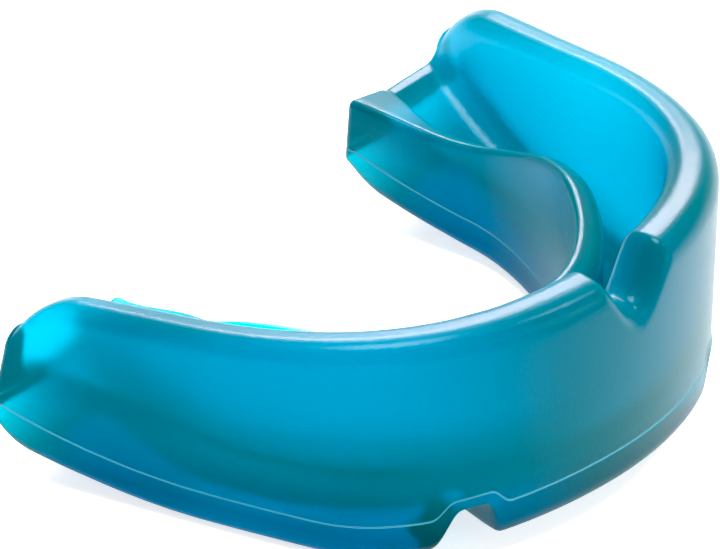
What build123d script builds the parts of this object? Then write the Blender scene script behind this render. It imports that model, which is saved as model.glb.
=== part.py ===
from build123d import *
from math import cos, pi, radians, sin, sqrt
import os

# A boxing mouthguard: a horseshoe channel, open upwards for the upper teeth, on a thin
# separate sole. Millimetres, +Z up. While it is drawn the front of the arch is near Y = 0
# and the arms run towards +Y; at the end it is moved so that the origin is the bottom centre
# of its box.

# Side view: heights of the rim, the tongue-side wall and the bite floor
END_Y = 46.6                 # where both arms end
RIM_FRONT_Z = 25.0           # top of the lip-side wall at the front
RIM_END_Z = 17.5             # and at the ends of the arms
RIM_CORNER = 5.0             # rounding of the rim's corner at each arm end
RIDGE_FRONT_Z = 17.8         # top of the tongue-side wall at the front
RIDGE_END_Z = 12.4           # and at the ends of the arms
FLOOR_FRONT_Z = 8.6          # bite floor under the front teeth
FLOOR_MID_Z = 6.0            # under the premolars
FLOOR_END_Z = 11.2           # raised heel behind the last molars
FLOOR_MID_Y = 27.0
SOLE_FLAT_Y = (17.0, 25.0)   # the stretch that rests on a table
SOLE_FRONT_LIFT = 3.3        # how far the underside curves up towards the front
SOLE_END_LIFT = 3.8          # and towards the arm ends
SOLE_CORNER = 3.5            # rounding of the underside at each arm end

# Plan view: each outline is a curve from the midline to a joint, then a straight arm
RIM_PLAN = dict(front_y=1.7, joint=(32.9, 29.8), splay=8.2, front_pull=9.9, side_pull=23.7)
SOLE_PLAN = dict(front_y=0.0, joint=(27.1, 15.0), splay=18.9, front_pull=9.8, side_pull=10.9)
TONGUE_TOP_PLAN = dict(front_y=13.2, joint=(19.9, 34.7), splay=-7.0, front_pull=10.0, side_pull=9.0)
TONGUE_LOW_PLAN = dict(front_y=12.8, joint=(21.2, 34.7), splay=-7.0, front_pull=10.4, side_pull=9.0)

# Wall thicknesses; a pair is at the front and at the arm ends
RIM_WALL = (4.8, 3.5)
FLOOR_WALL = (4.0, 4.4)
RIDGE_WALL = 2.1
HEEL_LIP = 3.4               # how much wider the ridge gets towards the arm end
HEEL_SHARE = 0.6             # where along the arch that widening starts

RIM_EDGE_R = 1.4
RIDGE_EDGE_R = 0.7
SOLE_EDGE_R = 2.4

# The sole is a separate layer of even depth
SOLE_DEPTH = 3.6

# Lip notch at the midline of the rim
LIP_NOTCH_HALF = 5.4
LIP_NOTCH_DEPTH = 7.2        # at Y = 0; less on the tooth side, because its bottom slopes
LIP_NOTCH_RISE = 7.5
LIP_NOTCH_FALL = 0.4         # how steeply its bottom falls towards the lip
LIP_NOTCH_REACH = 14.0

# Two small relief notches in the sole's outer edge
RELIEF_ALONG = 18.4          # from the midline, along the sole's outline
RELIEF_WIDTH = 4.4
RELIEF_HEIGHT = 3.2
RELIEF_DEPTH = 5.0
RELIEF_TOP_R = 1.5
RELIEF_LIP_R = 1.4
RELIEF_COVER = 1.9           # depth of sole kept over and beside each notch

STATIONS = 9
OVERRUN = 3.0                # the arms are drawn this much long, then trimmed
LOW_Z, HIGH_Z = -1.0, 27.0
WIDE = 60.0


def circle_rise(distance, run, lift):
    """Height of a circular arc that leaves the table level and climbs lift over run."""
    radius = (run**2 + lift**2) / (2 * lift)
    return radius - sqrt(radius**2 - max(distance, 0.0) ** 2)


def sole_z(y):
    front, back = SOLE_FLAT_Y
    rise = circle_rise(front - y, front, SOLE_FRONT_LIFT)
    return rise + circle_rise(y - back, END_Y - back, SOLE_END_LIFT)


def rim_z(y):
    return RIM_FRONT_Z + (RIM_END_Z - RIM_FRONT_Z) * y / END_Y


def half_arch(front_y, joint, splay, front_pull, side_pull):
    """The +X half of an outline, as points spaced evenly along it."""
    along = Vector(sin(radians(splay)), cos(radians(splay)))
    corner = Vector(*joint)
    last_y = END_Y + OVERRUN
    bend = Bezier((0, front_y), (front_pull, front_y), corner - along * side_pull, corner)
    arm = Line(corner, corner + along * ((last_y - corner.Y) / along.Y))
    wire = Wire([bend, arm])
    steps = [wire.length * i / (STATIONS - 1) for i in range(STATIONS)]
    return [wire.position_at(s, position_mode=PositionMode.LENGTH) for s in steps]


def inset(points, gap_at):
    """Move an outline inwards by a gap that depends on the share of its length so far."""
    moved = []
    for i, point in enumerate(points):
        before = points[max(i - 1, 0)]
        after = points[min(i + 1, len(points) - 1)]
        run = (after - before).normalized() if i else Vector(1, 0)
        moved.append(point + Vector(-run.Y, run.X) * gap_at(i / (len(points) - 1)))
    return moved


def at_height(lower, upper, z):
    """The outline at one height of a wall whose foot and rim are given."""
    level = []
    for foot, top in zip(lower, upper):
        foot_z, top_z = sole_z(min(foot.Y, END_Y)), rim_z(top.Y)
        level.append(foot + (top - foot) * ((z - foot_z) / (top_z - foot_z)))
    return level


def arch_edge(points, z):
    """A smooth curve through both halves of an outline, from the +X arm to the -X arm."""
    right = [Vector(p.X, p.Y, z) for p in reversed(points)]
    left = [Vector(-p.X, p.Y, z) for p in points[1:]]
    return Spline(*right, *left)


def arch_face(outer, inner, z):
    a, b = arch_edge(outer, z), arch_edge(inner, z)
    return Face(Wire([a, Line(a @ 1, b @ 1), b, Line(b @ 0, a @ 0)]))


def mouth_face(outer, z):
    a = arch_edge(outer, z)
    return Face(Wire([a, Line(a @ 1, a @ 0)]))


def profile_line(height, *stops):
    """A side view's curve through the heights at the given depths, in the YZ plane."""
    return Spline(*[(0, y, height(y)) for y in stops])


def sole_arc(y0, y1, drop=0.0):
    middle = (y0 + y1) / 2
    return ThreePointArc(*[(0, y, sole_z(y) + drop) for y in (y0, middle, y1)])


def sole_edges(drop=0.0):
    front, back = SOLE_FLAT_Y
    flat = Line((0, front, drop), (0, back, drop))
    return [sole_arc(-OVERRUN, front, drop), flat, sole_arc(back, END_Y + OVERRUN, drop)]


def side_prism(edges):
    """A closed side view carried right across the part."""
    return extrude(Face(Wire(edges)), WIDE, dir=(1, 0, 0), both=True)


def space_above(*curves):
    """Everything over a side view's curves, which run from front to back."""
    start, stop = curves[0] @ 0, curves[-1] @ 1
    roof = HIGH_Z + OVERRUN
    lid = Polyline(stop, (0, stop.Y, roof), (0, start.Y, roof), start)
    return side_prism([*curves, *lid.edges()])


def round_corner(prism, y, z, radius):
    """Round the one edge of a prism that crosses the given point of its side view."""
    edge = prism.edges().sort_by_distance((0, y, z))[0]
    return fillet(edge, radius)


def loft_between(low, high):
    return loft([low, high], ruled=True)


plan_sole = half_arch(**SOLE_PLAN)
plan_rim = half_arch(**RIM_PLAN)
plan_tongue_low = half_arch(**TONGUE_LOW_PLAN)
plan_tongue_top = half_arch(**TONGUE_TOP_PLAN)


def outer_at(z):
    return at_height(plan_sole, plan_rim, z)


def tongue_at(z):
    share = z / RIDGE_FRONT_Z
    return [a + (b - a) * share for a, b in zip(plan_tongue_low, plan_tongue_top)]


def envelope():
    """The whole guard as a thick horseshoe, trimmed to its side view."""
    horseshoe = loft_between(*[arch_face(outer_at(z), tongue_at(z), z) for z in (LOW_Z, HIGH_Z)])
    front, back = SOLE_FLAT_Y
    before = -OVERRUN
    foot, corner = (0, END_Y, sole_z(END_Y)), (0, END_Y, rim_z(END_Y))
    nose, chin = (0, before, rim_z(before)), (0, before, sole_z(before))
    side = side_prism([
        sole_arc(before, front),
        Line((0, front, 0), (0, back, 0)),
        sole_arc(back, END_Y),
        *Polyline(foot, corner, nose, chin).edges(),
    ])
    side = round_corner(side, END_Y, rim_z(END_Y), RIM_CORNER)
    side = round_corner(side, END_Y, sole_z(END_Y), SOLE_CORNER)
    return horseshoe & side


def ridge_z(y):
    start = plan_tongue_top[0].Y
    share = max(y - start, -OVERRUN) / (END_Y - start)
    return RIDGE_FRONT_Z + (RIDGE_END_Z - RIDGE_FRONT_Z) * share


def floor_z(y):
    """Bite floor: lowest under the premolars, up at the front and at the heel."""
    if y < FLOOR_MID_Y:
        share, far_z = (FLOOR_MID_Y - y) / FLOOR_MID_Y, FLOOR_FRONT_Z
    else:
        share, far_z = (y - FLOOR_MID_Y) / (END_Y - FLOOR_MID_Y), FLOOR_END_Z
    return FLOOR_MID_Z + (far_z - FLOOR_MID_Z) * share**2


def inner_wall_at(z):
    """The tooth side of the lip-side wall: thinner at the rim than at the floor."""
    climb = (z - FLOOR_MID_Z) / (RIM_FRONT_Z - FLOOR_MID_Z)
    front, end = [low + (high - low) * climb for low, high in zip(FLOOR_WALL, RIM_WALL)]
    return inset(outer_at(z), lambda share: front + (end - front) * share)


def ridge_wall_at(z):
    def gap(share):
        widening = max(share - HEEL_SHARE, 0) / (1 - HEEL_SHARE)
        return -RIDGE_WALL - HEEL_LIP * widening**2

    return inset(tongue_at(z), gap)


def mouth_space():
    """All that is open above the tongue-side wall."""
    inside = loft_between(*[mouth_face(inner_wall_at(z), z) for z in (LOW_Z, HIGH_Z)])
    stops = (-OVERRUN, END_Y + OVERRUN)
    return inside & space_above(Line(*[(0, y, ridge_z(y)) for y in stops]))


def tooth_space():
    """The channel between the two walls, down to the bite floor."""
    channel = loft_between(
        *[arch_face(inner_wall_at(z), ridge_wall_at(z), z) for z in (LOW_Z, HIGH_Z)]
    )
    stops = (-OVERRUN, FLOOR_MID_Y / 2, FLOOR_MID_Y, (FLOOR_MID_Y + END_Y) / 2, END_Y + OVERRUN)
    return channel & space_above(profile_line(floor_z, *stops))


def is_underside(face):
    return face.geom_type != GeomType.BSPLINE and face.normal_at(face.center()).Z < -0.3


def is_rim(face):
    return faces_up(face) and face.center().Z > RIDGE_FRONT_Z - 2


def is_ridge(face):
    return faces_up(face) and face.geom_type == GeomType.PLANE and not is_rim(face)


def faces_up(face):
    return face.geom_type != GeomType.EXTRUSION and face.normal_at(face.center()).Z > 0.3


def round_against_walls(solid, wanted, radius):
    """Round the edges where the wanted faces meet the swept walls."""
    walls = [e for f in solid.faces().filter_by(GeomType.BSPLINE) for e in f.edges()]
    ends = [e for f in solid.faces() if wanted(f) for e in f.edges()]
    edges = [e for e in ends if any(e.is_same(w) for w in walls)]
    return fillet(edges, radius)


def slot_outline(plane, width, height, top_radius, lip_radius):
    """An upright slot, open below, whose mouth flares into the underside."""
    half, deep = width / 2, -2 * RELIEF_HEIGHT
    shoulder, flare = half - top_radius, half + lip_radius
    right = [
        Line((0, height), (shoulder, height)),
        TangentArc((shoulder, height), (half, height - top_radius), tangent=(1, 0)),
        Line((half, height - top_radius), (half, lip_radius)),
        TangentArc((half, lip_radius), (flare, 0), tangent=(0, -1)),
        Line((flare, 0), (flare, deep)),
        Line((flare, deep), (0, deep)),
    ]
    left = [edge.mirror(Plane.YZ) for edge in right]
    return plane * Face(Wire([*right, *left]))


def relief_plane(side):
    """At the sole's outer edge, looking inwards, X along the wall and Y up."""
    outline = Wire([*arch_edge(plan_sole, 0).edges()])
    middle = outline.length / 2
    spot = outline.position_at(middle + side * RELIEF_ALONG, position_mode=PositionMode.LENGTH)
    along = outline.tangent_at(middle + side * RELIEF_ALONG, position_mode=PositionMode.LENGTH)
    inwards = along.cross(Vector(0, 0, 1))
    inwards = inwards if inwards.Y > 0 else -inwards
    start = Vector(spot.X, spot.Y, sole_z(spot.Y)) - inwards * RELIEF_DEPTH
    return Plane(origin=start, x_dir=inwards.cross(Vector(0, 0, 1)) * -1, z_dir=inwards)


def relief(side, spread=0.0):
    """The space of one relief notch, or that space with a margin over it and beside it."""
    outline = slot_outline(
        relief_plane(side),
        RELIEF_WIDTH + 2 * spread,
        RELIEF_HEIGHT + spread,
        RELIEF_TOP_R + spread,
        RELIEF_LIP_R,
    )
    return extrude(outline, 2 * RELIEF_DEPTH, dir=relief_plane(side).z_dir)


def lip_notch():
    """A rounded valley through the rim at the midline, falling towards the lip."""
    steps = [i / 4 - 1 for i in range(9)]
    valley = RIM_FRONT_Z - LIP_NOTCH_DEPTH
    outline = [
        (LIP_NOTCH_HALF * t, valley + LIP_NOTCH_RISE * (1 - cos(pi * t)) / 2) for t in steps
    ]
    points = [Vector(x, -OVERRUN, z - LIP_NOTCH_FALL * OVERRUN) for x, z in outline]
    floor = Spline(*points)
    first, last = points[0], points[-1]
    roof = HIGH_Z + LIP_NOTCH_RISE
    lid = Polyline(last, (last.X, last.Y, roof), (first.X, first.Y, roof), first)
    face = Face(Wire([floor, *lid.edges()]))
    across = Vector(0, 1, LIP_NOTCH_FALL)
    return extrude(face, LIP_NOTCH_REACH * across.length, dir=across.normalized())


guard = envelope() - mouth_space() - tooth_space()
guard = round_against_walls(guard.solids()[0], is_underside, SOLE_EDGE_R)
guard = round_against_walls(guard, is_rim, RIM_EDGE_R)
guard = round_against_walls(guard, is_ridge, RIDGE_EDGE_R)
guard = guard - lip_notch()

upper = guard & space_above(*sole_edges(SOLE_DEPTH))
for side in (-1, 1):
    upper = upper - relief(side, RELIEF_COVER)
lower = guard - upper
for side in (-1, 1):
    lower = lower - relief(side)

middle = Compound([upper, lower]).bounding_box().center()
place = Pos(-middle.X, -middle.Y, 0)
os.makedirs("parts", exist_ok=True)
for name, shape in (("channel_body", upper), ("sole", lower)):
    solids = shape.solids()
    print(name, len(solids), [round(s.volume, 1) for s in solids])
    piece = place * solids.sort_by(SortBy.VOLUME)[-1]
    piece.label = name
    export_step(piece, f"parts/{name}.step")
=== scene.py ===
"""A translucent boxing mouthguard: a horseshoe tooth channel on a bonded sole."""

from math import cos, pi, radians, sin

import bpy
import numpy as np
from mathutils import Matrix, Vector


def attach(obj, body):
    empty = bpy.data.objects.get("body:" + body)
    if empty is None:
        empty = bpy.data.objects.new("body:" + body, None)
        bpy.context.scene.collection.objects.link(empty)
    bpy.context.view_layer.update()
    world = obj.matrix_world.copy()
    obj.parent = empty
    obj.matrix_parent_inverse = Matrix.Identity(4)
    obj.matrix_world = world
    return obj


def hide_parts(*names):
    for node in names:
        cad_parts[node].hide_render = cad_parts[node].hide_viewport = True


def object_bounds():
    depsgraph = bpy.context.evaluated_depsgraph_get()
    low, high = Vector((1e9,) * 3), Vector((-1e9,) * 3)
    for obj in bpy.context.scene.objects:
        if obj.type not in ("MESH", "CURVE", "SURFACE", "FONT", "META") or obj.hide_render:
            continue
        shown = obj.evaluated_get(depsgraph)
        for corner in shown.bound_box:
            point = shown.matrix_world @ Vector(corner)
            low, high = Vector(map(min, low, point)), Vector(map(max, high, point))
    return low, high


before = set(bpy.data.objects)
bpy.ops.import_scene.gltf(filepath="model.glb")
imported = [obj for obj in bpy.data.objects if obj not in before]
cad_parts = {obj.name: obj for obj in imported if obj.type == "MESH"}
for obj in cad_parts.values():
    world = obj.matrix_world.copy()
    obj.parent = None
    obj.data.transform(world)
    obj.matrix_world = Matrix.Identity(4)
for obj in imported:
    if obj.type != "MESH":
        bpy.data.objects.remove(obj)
cad_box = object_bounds()

# ---- Sizes, in millimetres. The guard is drawn with its front near Y = 0 and its arms towards
# ---- +Y, then moved so that END_Y falls on the back of the CAD model.
MM = 0.001
END_Y = 46.6
ARM_END_LEFT, ARM_END_RIGHT = 45.7, 47.8

RIM_FRONT_Z, RIM_END_Z = 25.0, 17.5
RIDGE_Z_RIGHT = (
    (0, 18.4), (22, 18.2), (27, 16.5), (31.5, 14.1), (35, 12.8), (38.5, 12.4), (46.6, 12.9)
)
RIDGE_Z_LEFT = (
    (0, 18.4), (14, 18.2), (18, 16.8), (21, 15.6), (25.4, 16.0), (27.5, 16.0), (31.3, 15.2),
    (35, 13.4), (46.6, 12.9),
)
RIDGE_REF_Z = 18.0           # the height at which RIDGE_PLAN holds
RIDGE_BLEND = 1.6            # how widely the ridge's stops are smoothed, and how far it looks
RIDGE_BLEND_REACH, RIDGE_BLEND_STEPS = 3.0, 13
HEEL_DROP = 2.9              # the -X arm's heel is lower than the other one, from HEEL_DROP_FROM
HEEL_DROP_FROM = 35.0        # to HEEL_DROP_LEVEL before the end
HEEL_DROP_LEVEL = 1.0
RIM_DROP = 0.8               # its rim slopes inwards by this, over a first share of the arch
RIM_DROP_RUN = 0.3
FLOOR_FRONT_Z, FLOOR_MID_Z, FLOOR_END_Z, FLOOR_MID_Y = 8.4, 5.8, 11.4, 27.0
SOLE_FLAT_Y = (17.0, 25.0)
SOLE_FRONT_LIFT, SOLE_END_LIFT = 3.3, 3.8
SOLE_DEPTH = 3.6

# Plan view: a curve from the midline to a joint, then a straight arm
RIM_PLAN = dict(front_y=1.7, joint=(32.9, 29.8), splay=8.2, front_pull=9.9, side_pull=23.7)
SOLE_PLAN = dict(front_y=0.0, joint=(27.1, 15.0), splay=18.9, front_pull=9.8, side_pull=10.9)
RIDGE_PLAN = dict(front_y=12.3, joint=(19.9, 34.7), splay=-9.5, front_pull=10.0, side_pull=9.0)
INSIDE_FOOT_PLAN = dict(
    front_y=11.9, joint=(21.2, 34.7), splay=-10.5, front_pull=10.4, side_pull=9.0
)

# Walls; a pair is at the front and at the arm ends
RIM_WALL = (5.4, 4.3)
FLOOR_WALL = (4.2, 5.2)
RIDGE_WALL = 2.9
RIDGE_SLOPE = 1.1            # how much lower the ridge is on its tooth side
RIDGE_FOOT_EXTRA = 0.5       # how much wider it is at the floor
HEEL_LIP_WIDTH = 5.2         # the ridge spreads into a sloping lip at the arm end
HEEL_LIP_RUN = 0.17          # over this last share of the arch

# Roundings
RIM_OUTER_R = (2.5, 2.0)
RIM_INNER_R = (1.9, 1.6)
RIDGE_R = 0.7
BROW_R = 1.6
FLOOR_OUTER_R = (1.6, 4.2)
FLOOR_INNER_R = 2.6
SOLE_R = 2.3
SOLE_INNER_R = 0.8 * SOLE_R
UNDERSIDE_R = 6.0            # at the points that shape the underside
BOND_R = 3.0                 # at the middle of the bonded face
SEAM_R = 0.09
RIM_CORNER, SOLE_CORNER = 6.0, 4.0
END_R = 0.6                  # rounding between an arm's end face and its sides
END_STEPS = 5
SEAM_GAP = 0.03
SEAM_STEPS = 3               # faces round each of the seam's corners

# Lip notch at the midline: half its width, and its depth on the lip and tooth sides
LIP_NOTCH_HALF = 5.4
LIP_NOTCH_POWER = 0.8        # below 1 the valley is wide and its shoulders are tight
LIP_NOTCH_OUTER, LIP_NOTCH_INNER = 4.6, 4.4

# Relief notches in the sole's outer edge
RELIEF_ALONG = 19.0          # from the midline, along the sole's outline
RELIEF_TOP_HALF, RELIEF_HALF = 0.7, 3.9      # half its width at the top and at the bottom
RELIEF_HEIGHT = 4.0
RELIEF_DEPTH = (6.0, 9.0)    # full height up to the first depth, gone at the second
SEAM_ARCH_TOP_HALF, SEAM_ARCH_HALF = 1.2, 4.4
SEAM_ARCH_RISE = 1.6

# Limits that keep the roundings from meeting or failing where a section hardly turns
ROUNDING_SHARE = 0.48        # of the shorter side beside a corner
STRAIGHT = 0.9999            # cosine of the flattest turn
LEAST_TURN = 0.05            # sine of the least turn that an inset corner is solved for

# How closely the outlines are sampled, and the sections along them
CURVE_POINTS, ARM_POINTS = 400, 100
FINE_STEP, COARSE_STEP = 0.2, 0.5
FINE_BESIDE_NOTCH, FINE_BEFORE_END = 1.5, 1.0

# The camera: almost parallel, as the object is seen from far away
CAMERA_AZIMUTH, CAMERA_HEIGHT, CAMERA_ROLL = -56.3, 33.4, 6.4
CAMERA_AIM = (-1.711, 7.601, 10.863)
CAMERA_DISTANCE = 1497.0
SENSOR_WIDTH = 36.0
VIEW_WIDTH = 65.51           # what the picture spans at the aim point
CLIP_NEAR, CLIP_FAR = 0.05, 20.0

# Colours
# The first base colour is painted shade low on the sole, the second the paler teal up the walls
PAINTED_SHADE_TEAL, PALE_TEAL = (0.002, 0.17, 0.20, 1), (0.004, 0.82, 0.94, 1)
PAINTED_SHADE_Z, PALE_TEAL_Z = 2.5, 8.0          # heights of the two, in the drawing
TEAL_GLINT = (0.0, 0.75, 1.0, 1)
THROUGH_TEAL = (0.0, 0.885, 0.918, 1)        # what absorption leaves of white light
# opaque pale colour on the faces beside the seam
SEAM_PALE = (0.12, 0.42, 0.55, 1)
WHITE, FLOOR_GREY = (1, 1, 1, 1), (0.75, 0.75, 0.75, 1)
PLAIN_LIGHT, LAVENDER_LIGHT = (1, 1, 1), (1.0, 0.78, 0.86)
HAZE_RED = 0.03              # red below this shows as black
ABSORPTION = 1650            # a metre, so millimetres of rubber already colour the light

FLOOR_HALF, FLOOR_BELOW = 3.0, 0.00005       # in metres

# Name, direction from the guard, distance and size in metres, power in watts, and colour
LIGHTS = (
    ("top_softbox", (-0.02, 0.03, 1.0), 0.9, 0.3, 9.0, PLAIN_LIGHT),
    ("back_softbox", (0.69, 0.46, 0.55), 0.7, 0.3, 8.5, LAVENDER_LIGHT),
    ("front_softbox", (0.38, -0.38, 0.85), 0.9, 0.12, 2.2, PLAIN_LIGHT),
    ("front_fill", (0.3, -0.9, 0.4), 0.9, 0.4, 2.5, PLAIN_LIGHT),
)


# ---- Side-view curves ------------------------------------------------------------------------


def circle_rise(distance, run, lift):
    """Height of a circular arc that leaves the table level and climbs lift over run."""
    radius = (run**2 + lift**2) / (2 * lift)
    return radius - np.sqrt(radius**2 - np.clip(distance, 0, run) ** 2)


def corner_cut(y, radius, end_y):
    """How far a side view is cut back near the arm end by a rounded corner."""
    inside = np.clip(radius - (end_y - y), 0, radius)
    return radius - np.sqrt(radius**2 - inside**2)


def sole_z(y):
    front, back = SOLE_FLAT_Y
    rise = circle_rise(front - y, front, SOLE_FRONT_LIFT)
    return rise + circle_rise(y - back, END_Y - back, SOLE_END_LIFT)


def rim_z(y):
    return RIM_FRONT_Z + (RIM_END_Z - RIM_FRONT_Z) * y / END_Y


def ridge_z(y, stops):
    """Height of the tongue-side ridge, from its (y, height) stops, smoothed."""
    stops = np.array(stops)
    near = np.linspace(-RIDGE_BLEND_REACH, RIDGE_BLEND_REACH, RIDGE_BLEND_STEPS)[:, None]
    weights = np.exp(-((near / RIDGE_BLEND) ** 2))
    heights = np.interp(np.clip(y + near, 0, None), stops[:, 0], stops[:, 1])
    return np.sum(heights * weights, axis=0) / np.sum(weights)


def heel_drop(y, amount):
    """How far the floor and ridge are lowered towards the arm end."""
    return amount * smooth_step((y - HEEL_DROP_FROM) / (END_Y - HEEL_DROP_FROM - HEEL_DROP_LEVEL))


def floor_z(y):
    ahead = np.clip((FLOOR_MID_Y - y) / FLOOR_MID_Y, 0, 1)
    behind = np.clip((y - FLOOR_MID_Y) / (END_Y - FLOOR_MID_Y), 0, 1)
    climb = (FLOOR_FRONT_Z - FLOOR_MID_Z) * ahead**2
    return FLOOR_MID_Z + climb + (FLOOR_END_Z - FLOOR_MID_Z) * behind**2


# ---- Plan-view curves ------------------------------------------------------------------------


def half_outline(front_y, joint, splay, front_pull, side_pull, last_y):
    """The +X half of an outline as close points, from the midline to the arm end."""
    along = np.array([sin(radians(splay)), cos(radians(splay))])
    p3 = np.array(joint)
    p0, p1, p2 = np.array([0.0, front_y]), np.array([front_pull, front_y]), p3 - along * side_pull
    u = np.linspace(0, 1, CURVE_POINTS)[:, None]
    bend = p0 * (1 - u) ** 3 + 3 * p1 * u * (1 - u) ** 2 + 3 * p2 * u**2 * (1 - u) + p3 * u**3
    reach = (last_y - p3[1]) / along[1]
    arm = p3 + along * reach * np.linspace(0, 1, ARM_POINTS)[1:, None]
    return np.vstack([bend, arm])


def lengths_along(points):
    steps = np.linalg.norm(np.diff(points, axis=0), axis=1)
    return np.concatenate([[0], np.cumsum(steps)])


def at_shares(points, shares):
    """Points of an outline at the given shares of its length."""
    run = lengths_along(points)
    wanted = shares * run[-1]
    return np.stack([np.interp(wanted, run, points[:, axis]) for axis in (0, 1)], axis=1)


def smooth_step(value):
    value = np.clip(value, 0, 1)
    return value * value * (3 - 2 * value)


def station_shares(length):
    """Shares from the midline to the arm end, closer at the notches and the end."""
    marks = [0.0]
    while marks[-1] < length:
        here = marks[-1]
        near_lip = here < LIP_NOTCH_HALF + FINE_BESIDE_NOTCH
        near_relief = abs(here - RELIEF_ALONG) < RELIEF_HALF + FINE_BESIDE_NOTCH
        near_end = length - here < RIM_CORNER + FINE_BEFORE_END
        finer = near_lip or near_relief or near_end
        marks.append(here + (FINE_STEP if finer else COARSE_STEP))
    marks = np.array(marks)
    return marks / marks[-1]


class Arch:
    """Outlines, directions and notch depths at every station of one half of the guard."""

    def __init__(self, end_y):
        self.end_y = end_y
        last_y = end_y - END_R
        sole = half_outline(**SOLE_PLAN, last_y=last_y)
        self.length = lengths_along(sole)[-1]
        self.share = station_shares(self.length)
        self.distance = self.share * self.length
        self.foot = at_shares(sole, self.share)
        self.top = at_shares(half_outline(**RIM_PLAN, last_y=last_y), self.share)
        self.ridge = at_shares(half_outline(**RIDGE_PLAN, last_y=last_y), self.share)
        self.inside_foot = at_shares(
            half_outline(**INSIDE_FOOT_PLAN, last_y=last_y), self.share
        )
        across = (self.ridge + self.inside_foot) - (self.foot + self.top)
        self.inwards = across / np.linalg.norm(across, axis=1)[:, None]
        self.count = len(self.share)
        self.zeros = np.zeros(self.count)

    def pick(self, pair):
        """A value that changes evenly from the front to the arm end."""
        front, end = pair
        return front + (end - front) * self.share

    def outer(self, z, offset=0.0):
        """Points at a distance inside the lip-side face, at height z."""
        foot_z, top_z = sole_z(self.foot[:, 1]), rim_z(self.top[:, 1])
        share = ((z - foot_z) / (top_z - foot_z))[:, None]
        plan = self.foot + (self.top - self.foot) * share + self.inwards * self.wide(offset)
        return np.column_stack([plan, z + self.zeros])

    def inner(self, z, offset=0.0):
        """Points at a distance from the tongue-side face, towards the teeth, at height z."""
        share = ((z + self.zeros) / RIDGE_REF_Z)[:, None]
        plan = self.inside_foot + (self.ridge - self.inside_foot) * share
        return np.column_stack([plan - self.inwards * self.wide(offset), z + self.zeros])

    def wide(self, offset):
        return (offset + self.zeros)[:, None]


# ---- Sections --------------------------------------------------------------------------------


def unit(vectors):
    return vectors / np.maximum(np.linalg.norm(vectors, axis=-1, keepdims=True), 1e-9)


def rounded_loop(corners, radii, arc_steps, run_steps):
    """Closed sections through rounded corners: an array of shape (stations, points, 3).

    corners, radii and arc_steps have one entry a corner, and run_steps counts the points on the
    straight run that follows each.
    """
    count = len(corners)
    starts, stops, weights = [], [], []
    for i, corner in enumerate(corners):
        back, ahead = corners[i - 1] - corner, corners[(i + 1) % count] - corner
        back_len, ahead_len = np.linalg.norm(back, axis=1), np.linalg.norm(ahead, axis=1)
        cosine = np.clip(np.sum(unit(back) * unit(ahead), axis=1), -STRAIGHT, STRAIGHT)
        half = np.arccos(cosine) / 2
        longest = ROUNDING_SHARE * np.minimum(back_len, ahead_len)
        reach = np.minimum(radii[i] / np.tan(half), longest)
        starts.append(corner + unit(back) * reach[:, None])
        stops.append(corner + unit(ahead) * reach[:, None])
        weights.append(np.sin(half)[:, None])
    points = []
    for i, corner in enumerate(corners):
        for u in np.linspace(0, 1, arc_steps[i] + 1):
            a, b, c = (1 - u) ** 2, 2 * u * (1 - u) * weights[i], u**2
            points.append((starts[i] * a + corner * b + stops[i] * c) / (a + b + c))
        following = starts[(i + 1) % count]
        for u in np.linspace(0, 1, run_steps[i] + 2)[1:-1]:
            points.append(stops[i] * (1 - u) + following * u)
    return np.stack(points, axis=1)


def bonded_columns(arc_steps, run_steps, bonded_runs):
    """The first and last section points of the face that is bonded to the other piece."""
    begins = np.cumsum([0] + [arcs + 1 + run for arcs, run in zip(arc_steps, run_steps)])
    first, last = bonded_runs[0], bonded_runs[-1]
    return begins[first] + arc_steps[first], begins[last + 1]


def inset_polygon(points, gaps):
    """An (x, z) polygon whose side after corner i has moved inwards by gaps[i]."""
    following = np.roll(points, -1, axis=0)
    ahead = unit(following - points)
    normal = np.column_stack([-ahead[:, 1], ahead[:, 0]])
    turning = np.sum(points[:, 0] * following[:, 1] - points[:, 1] * following[:, 0])
    if turning < 0:
        normal = -normal
    moved = []
    for i in range(len(points)):
        sides = np.stack([normal[i - 1], normal[i]])
        reach = np.array([gaps[i - 1], gaps[i]])
        if abs(np.linalg.det(sides)) < LEAST_TURN:
            shift = normal[i] * reach.mean()
        else:
            shift = np.linalg.solve(sides, reach)
        moved.append(points[i] + shift)
    return np.array(moved)


def is_convex(points):
    """For each corner of an (x, z) polygon, whether it points outwards."""
    back, ahead = points - np.roll(points, 1, axis=0), np.roll(points, -1, axis=0) - points
    turn = back[:, 0] * ahead[:, 1] - back[:, 1] * ahead[:, 0]
    return turn * np.sum(turn) > 0


def round_arm_end(arch, corners, radii, bonded_runs):
    """Add smaller and smaller sections that round the arm's end, apart from the bonded face."""
    radii = [radius + arch.zeros for radius in radii]
    last = np.array([corner[-1] for corner in corners])
    flat = last[:, [0, 2]]
    convex = is_convex(flat)
    for angle in np.linspace(0, pi / 2, END_STEPS + 1)[1:]:
        gap = END_R * (1 - cos(angle))
        gaps = [0.0 if i in bonded_runs else gap for i in range(len(flat))]
        ring = inset_polygon(flat, gaps)
        y = last[0, 1] + END_R * sin(angle)
        for i, (x, z) in enumerate(ring):
            corners[i] = np.vstack([corners[i], (x, y, z)])
            shrunk = radii[i][arch.count - 1] + (-gap if convex[i] else gap)
            radii[i] = np.append(radii[i], max(shrunk, SEAM_R))
    return corners, radii


def lip_notch_share(arch):
    """1 at the midline and 0 beyond the notch, with a rounded valley."""
    across = np.clip(arch.distance / LIP_NOTCH_HALF, 0, 1)
    return ((1 + np.cos(pi * across)) / 2) ** LIP_NOTCH_POWER


def hump(arch, top_half, bottom_half):
    """1 over the middle of a relief notch, 0 beyond its bottom width, rounded between."""
    beyond = np.abs(arch.distance - RELIEF_ALONG) - top_half
    return 1 - smooth_step(smooth_step(beyond / (bottom_half - top_half)))


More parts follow.
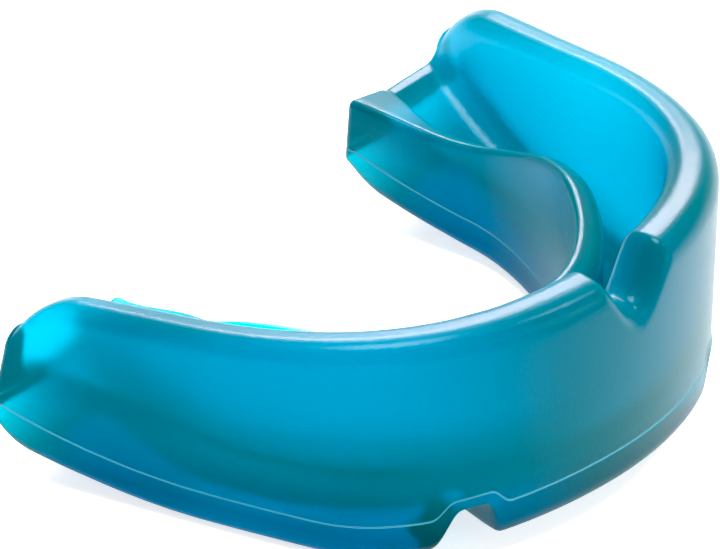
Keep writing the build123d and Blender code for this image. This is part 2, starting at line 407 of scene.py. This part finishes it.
def seam_rise(arch):
    """How far the seam lifts over a relief notch."""
    return SEAM_ARCH_RISE * hump(arch, SEAM_ARCH_TOP_HALF, SEAM_ARCH_HALF)


def section_heights(arch):
    """The heights that both pieces share."""
    rim_lip = lip_notch_share(arch)
    top_y = arch.top[:, 1]
    rim = rim_z(top_y) - corner_cut(top_y, RIM_CORNER, arch.end_y)
    foot_y, inside_y = arch.foot[:, 1], arch.inside_foot[:, 1]
    return dict(
        rim_out=rim - LIP_NOTCH_OUTER * rim_lip,
        rim_in=rim - LIP_NOTCH_INNER * rim_lip,
        seam_out=sole_z(foot_y) + SOLE_DEPTH + seam_rise(arch),
        seam_in=sole_z(inside_y) + SOLE_DEPTH,
        sole_out=sole_z(foot_y) + corner_cut(foot_y, SOLE_CORNER, arch.end_y),
        sole_in=sole_z(inside_y) + corner_cut(inside_y, SOLE_CORNER, arch.end_y),
    )


def body_sections(arch, ridge, heel_lowered=0.0, rim_lowered=0.0):
    """Sections of the channel body: up the lip side, over the rim, across the bite floor, over
    the ridge, down the tongue side and back along the bonded face."""
    z = section_heights(arch)
    heel = smooth_step((arch.share - 1 + HEEL_LIP_RUN) / HEEL_LIP_RUN)
    ridge_y = arch.ridge[:, 1]
    lowered = heel_drop(ridge_y, heel_lowered)
    crest = ridge_z(ridge_y, ridge) - lowered
    rim_in = z["rim_in"] - rim_lowered * smooth_step(arch.share / RIM_DROP_RUN)
    floor = floor_z(ridge_y) - lowered
    ledge = RIDGE_WALL + (HEEL_LIP_WIDTH - RIDGE_WALL) * heel
    brow = crest - RIDGE_SLOPE
    gap = SEAM_GAP / 2
    middle_z = (z["seam_out"] + z["seam_in"]) / 2 + gap
    middle = (arch.outer(middle_z) + arch.inner(middle_z)) / 2
    corners = [
        arch.outer(z["seam_out"] + gap),
        arch.outer(z["rim_out"]),
        arch.outer(rim_in, arch.pick(RIM_WALL)),
        arch.outer(floor, arch.pick(FLOOR_WALL)),
        arch.inner(floor, ledge + RIDGE_FOOT_EXTRA),
        arch.inner(brow, ledge),
        arch.inner(crest),
        arch.inner(z["seam_in"] + gap),
        middle,
    ]
    radii = [
        SEAM_R, arch.pick(RIM_OUTER_R), arch.pick(RIM_INNER_R), arch.pick(FLOOR_OUTER_R),
        FLOOR_INNER_R, BROW_R, RIDGE_R, SEAM_R, BOND_R,
    ]
    arc_steps = [SEAM_STEPS, 8, 8, 8, 6, 6, 6, SEAM_STEPS, 2]
    run_steps = [26, 8, 24, 10, 14, 3, 16, 14, 14]
    bonded_runs = (7, 8)
    corners, radii = round_arm_end(arch, corners, radii, bonded_runs)
    points = rounded_loop(corners, radii, arc_steps, run_steps)
    return points, bonded_columns(arc_steps, run_steps, bonded_runs)


def sole_sections(arch):
    """Sections of the sole: along the bonded face, down the tongue side and back underneath."""
    z = section_heights(arch)
    gap = SEAM_GAP / 2
    middle_z = (z["seam_out"] + z["seam_in"]) / 2 - gap
    top_middle = (arch.outer(middle_z) + arch.inner(middle_z)) / 2
    out, inside = arch.outer(z["sole_out"]), arch.inner(z["sole_in"])
    under = []
    for share in (0.25, 0.5, 0.75):
        point = inside * (1 - share) + out * share
        cut = corner_cut(point[:, 1], SOLE_CORNER, arch.end_y)
        under.append(np.column_stack([point[:, :2], sole_z(point[:, 1]) + cut]))
    corners = [
        arch.outer(z["seam_out"] - gap), top_middle, arch.inner(z["seam_in"] - gap),
        inside, *under, out,
    ]
    radii = [SEAM_R, BOND_R, SEAM_R, SOLE_INNER_R, *[UNDERSIDE_R] * 3, SOLE_R]
    arc_steps = [SEAM_STEPS, 2, SEAM_STEPS, 10, 3, 3, 3, 12]
    run_steps = [14, 14, 6, 5, 5, 5, 8, 20]
    bonded_runs = (0, 1)
    corners, radii = round_arm_end(arch, corners, radii, bonded_runs)
    points = rounded_loop(corners, radii, arc_steps, run_steps)
    return points, bonded_columns(arc_steps, run_steps, bonded_runs)


def lift_relief(arch, sections, bonded):
    """Raise the underside into the relief notches, but not the face bonded to the body."""
    points = sections[: arch.count].copy()
    height = points[..., 2] - sole_z(points[..., 1])
    top = (SOLE_DEPTH + seam_rise(arch))[:, None]
    depth = np.sum((points[..., :2] - arch.foot[:, None, :]) * arch.inwards[:, None, :], axis=-1)
    near, far = RELIEF_DEPTH
    lift = RELIEF_HEIGHT * hump(arch, RELIEF_TOP_HALF, RELIEF_HALF)[:, None]
    lift = lift * (1 - smooth_step((depth - near) / (far - near)))
    lift = lift * np.clip(1 - height / top, 0, 1)
    lift[:, bonded[0] : bonded[1] + 1] = 0
    points[..., 2] += lift
    return np.concatenate([points, sections[arch.count :]])


# ---- Meshes ----------------------------------------------------------------------------------


def both_halves(left, right):
    """Stations from the -X arm end, round the front, to the +X arm end."""
    mirrored = left[:0:-1] * np.array([-1, 1, 1])
    return np.concatenate([mirrored, right])


def in_row_frame(points):
    shift = cad_box[1][1] / MM - END_Y
    return (points + np.array([0, shift, 0])) * MM


def mesh_from(name, sections):
    """A closed mesh through the sections, with flat caps."""
    points = in_row_frame(sections)
    rows, columns = points.shape[:2]
    index = np.arange(rows * columns).reshape(rows, columns)
    ahead = np.roll(index, -1, axis=1)
    quads = np.stack([index[:-1], ahead[:-1], ahead[1:], index[1:]], axis=-1).reshape(-1, 4)
    caps = [index[0][::-1].tolist(), index[-1].tolist()]
    mesh = bpy.data.meshes.new(name)
    mesh.from_pydata(points.reshape(-1, 3).tolist(), [], quads.tolist() + caps)
    piece = bpy.data.objects.new(name, mesh)
    bpy.context.collection.objects.link(piece)
    bpy.context.view_layer.objects.active = piece
    piece.select_set(True)
    bpy.ops.object.mode_set(mode="EDIT")
    bpy.ops.mesh.select_all(action="SELECT")
    bpy.ops.mesh.normals_make_consistent(inside=False)
    bpy.ops.object.mode_set(mode="OBJECT")
    piece.select_set(False)
    for face in mesh.polygons:
        face.use_smooth = len(face.vertices) == 4
    return piece


def mark_faces(mesh, name, columns, marked):
    """Mark the faces in some columns of the sections, for the material to find."""
    marked = {column % columns for column in marked}
    mark = mesh.attributes.new(name, "FLOAT", "FACE")
    for face in mesh.polygons:
        if len(face.vertices) == 4 and face.index % columns in marked:
            mark.data[face.index].value = 1.0


def add_piece(name, left, right, bonded, rubber):
    """One piece of the guard, riding on the body and standing for its CAD node."""
    piece = mesh_from(name, both_halves(left, right))
    piece.data.materials.append(rubber)
    columns = left.shape[1]
    first, last = bonded
    mark_faces(piece.data, "bonded", columns, range(first, last))
    beside = [*range(first - SEAM_STEPS, first), *range(last, last + SEAM_STEPS)]
    mark_faces(piece.data, "seam", columns, beside)
    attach(piece, "root")
    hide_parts(name)
    return piece


# ---- Materials -------------------------------------------------------------------------------


def add_absorption(material):
    """Colour that deepens with the thickness of rubber that light passes through."""
    nodes, links = material.node_tree.nodes, material.node_tree.links
    absorb = nodes.new("ShaderNodeVolumeAbsorption")
    absorb.inputs["Color"].default_value = THROUGH_TEAL
    absorb.inputs["Density"].default_value = ABSORPTION
    links.new(absorb.outputs["Volume"], nodes["Material Output"].inputs["Volume"])


def overlay(material, attribute, closure):
    """Put another shader on the faces that an attribute marks."""
    nodes, links = material.node_tree.nodes, material.node_tree.links
    surface = nodes["Material Output"].inputs["Surface"]
    mark = nodes.new("ShaderNodeAttribute")
    mark.attribute_name = attribute
    mix = nodes.new("ShaderNodeMixShader")
    links.new(mark.outputs["Fac"], mix.inputs["Fac"])
    links.new(surface.links[0].from_socket, mix.inputs[1])
    links.new(closure.outputs["BSDF"], mix.inputs[2])
    links.new(mix.outputs["Shader"], surface)


def add_seam_and_bond(material):
    """An opaque pale teal on the faces beside the seam outside; clear where the two pieces are
    bonded inside.
    """
    nodes = material.node_tree.nodes
    pale_seam_diffuse = nodes.new("ShaderNodeBsdfDiffuse")
    pale_seam_diffuse.inputs["Color"].default_value = SEAM_PALE
    overlay(material, "seam", pale_seam_diffuse)
    overlay(material, "bonded", nodes.new("ShaderNodeBsdfTransparent"))


def paint_shade_by_height(material):
    """Painted shade: base colour painted a deeper teal low on the sole, where shade falls under
    the guard, and paler up the walls.
    """
    nodes, links = material.node_tree.nodes, material.node_tree.links
    place = nodes.new("ShaderNodeTexCoord")
    axes = nodes.new("ShaderNodeSeparateXYZ")
    links.new(place.outputs["Object"], axes.inputs["Vector"])
    share = nodes.new("ShaderNodeMapRange")
    share.inputs["From Min"].default_value = PAINTED_SHADE_Z * MM
    share.inputs["From Max"].default_value = PALE_TEAL_Z * MM
    links.new(axes.outputs["Z"], share.inputs["Value"])
    ramp = nodes.new("ShaderNodeValToRGB")
    ramp.color_ramp.elements[0].color = PAINTED_SHADE_TEAL
    ramp.color_ramp.elements[1].color = PALE_TEAL
    links.new(share.outputs["Result"], ramp.inputs["Fac"])
    return ramp.outputs["Color"]


def translucent_teal(name):
    """Frosted see-through rubber with a satin coat and a fine grain."""
    material = bpy.data.materials.new(name)
    material.use_nodes = True
    nodes, links = material.node_tree.nodes, material.node_tree.links
    shader = nodes["Principled BSDF"]
    # base colour carries painted shade, darker towards the bottom
    links.new(paint_shade_by_height(material), shader.inputs["Base Color"])
    shader.inputs["Transmission Weight"].default_value = 0.9
    shader.inputs["Roughness"].default_value = 0.4
    shader.inputs["IOR"].default_value = 1.22
    shader.inputs["Specular Tint"].default_value = TEAL_GLINT
    shader.inputs["Coat Weight"].default_value = 0.15
    shader.inputs["Coat Roughness"].default_value = 0.2
    shader.inputs["Coat IOR"].default_value = 1.5
    add_absorption(material)
    add_seam_and_bond(material)
    grain = nodes.new("ShaderNodeTexNoise")
    grain.inputs["Scale"].default_value = 2600
    grain.inputs["Detail"].default_value = 3
    place = nodes.new("ShaderNodeTexCoord")
    links.new(place.outputs["Object"], grain.inputs["Vector"])
    bump = nodes.new("ShaderNodeBump")
    bump.inputs["Strength"].default_value = 0.25
    bump.inputs["Distance"].default_value = 0.0001
    links.new(grain.outputs["Fac"], bump.inputs["Height"])
    links.new(bump.outputs["Normal"], shader.inputs["Normal"])
    links.new(bump.outputs["Normal"], shader.inputs["Coat Normal"])
    return material


def light_table(name):
    """A pale matt floor with a soft glow of its own."""
    material = bpy.data.materials.new(name)
    material.use_nodes = True
    shader = material.node_tree.nodes["Principled BSDF"]
    shader.inputs["Base Color"].default_value = FLOOR_GREY
    shader.inputs["Roughness"].default_value = 1.0
    shader.inputs["Specular IOR Level"].default_value = 0.0
    shader.inputs["Emission Color"].default_value = WHITE
    shader.inputs["Emission Strength"].default_value = 0.7
    return material


# ---- Stage, lights and camera ----------------------------------------------------------------


def add_floor():
    half = FLOOR_HALF
    mesh = bpy.data.meshes.new("floor")
    corners = [(-half, -half, 0), (half, -half, 0), (half, half, 0), (-half, half, 0)]
    mesh.from_pydata(corners, [], [(0, 1, 2, 3)])
    floor = bpy.data.objects.new("floor", mesh)
    bpy.context.collection.objects.link(floor)
    floor.location.z = -FLOOR_BELOW
    mesh.materials.append(light_table("floor_white"))


def add_light(name, direction, distance, size, power, color):
    """A soft square light in a direction from the guard's middle, aimed at it."""
    lamp = bpy.data.lights.new(name, "AREA")
    lamp.size = size
    lamp.energy = power
    lamp.color = color
    light = bpy.data.objects.new(name, lamp)
    bpy.context.collection.objects.link(light)
    towards = Vector(direction).normalized()
    light.location = Vector(CAMERA_AIM) * MM + towards * distance
    light.rotation_euler = towards.to_track_quat("Z", "Y").to_euler()


def add_sky():
    world = bpy.data.worlds.new("white_room")
    world.use_nodes = True
    background = world.node_tree.nodes["Background"]
    background.inputs["Color"].default_value = WHITE
    background.inputs["Strength"].default_value = 0.4
    bpy.context.scene.world = world


def add_camera():
    azimuth, height, roll = (radians(a) for a in (CAMERA_AZIMUTH, CAMERA_HEIGHT, CAMERA_ROLL))
    back = Vector((sin(azimuth) * cos(height), -cos(azimuth) * cos(height), sin(height)))
    right = Vector((cos(azimuth), sin(azimuth), 0))
    up = back.cross(right)
    rolled_right = right * cos(roll) + up * sin(roll)
    rolled_up = up * cos(roll) - right * sin(roll)
    lens = bpy.data.cameras.new("camera")
    lens.sensor_width = SENSOR_WIDTH
    lens.lens = SENSOR_WIDTH * CAMERA_DISTANCE / VIEW_WIDTH
    lens.clip_start, lens.clip_end = CLIP_NEAR, CLIP_FAR
    camera = bpy.data.objects.new("camera", lens)
    bpy.context.collection.objects.link(camera)
    turn = Matrix((rolled_right, rolled_up, back)).transposed().to_4x4()
    place = (Vector(CAMERA_AIM) + back * CAMERA_DISTANCE) * MM
    camera.matrix_world = Matrix.Translation(place) @ turn
    bpy.context.scene.camera = camera


def develop():
    """Plain display colours, with the faint red haze on the rubber clipped to black."""
    view = bpy.context.scene.view_settings
    view.view_transform = "Standard"
    view.use_curve_mapping = True
    view.curve_mapping.black_level = (HAZE_RED, 0, 0)
    view.curve_mapping.update()


# ---- The scene -------------------------------------------------------------------------------

left_arch, right_arch = Arch(ARM_END_LEFT), Arch(ARM_END_RIGHT)
rubber = translucent_teal("teal_rubber")
left, bonded = body_sections(left_arch, RIDGE_Z_LEFT, HEEL_DROP, RIM_DROP)
right, bonded = body_sections(right_arch, RIDGE_Z_RIGHT)
add_piece("channel_body", left, right, bonded, rubber)
left, bonded = sole_sections(left_arch)
right, bonded = sole_sections(right_arch)
left, right = lift_relief(left_arch, left, bonded), lift_relief(right_arch, right, bonded)
add_piece("sole", left, right, bonded, rubber)
add_floor()
add_sky()
for light_row in LIGHTS:
    add_light(*light_row)
add_camera()
develop()
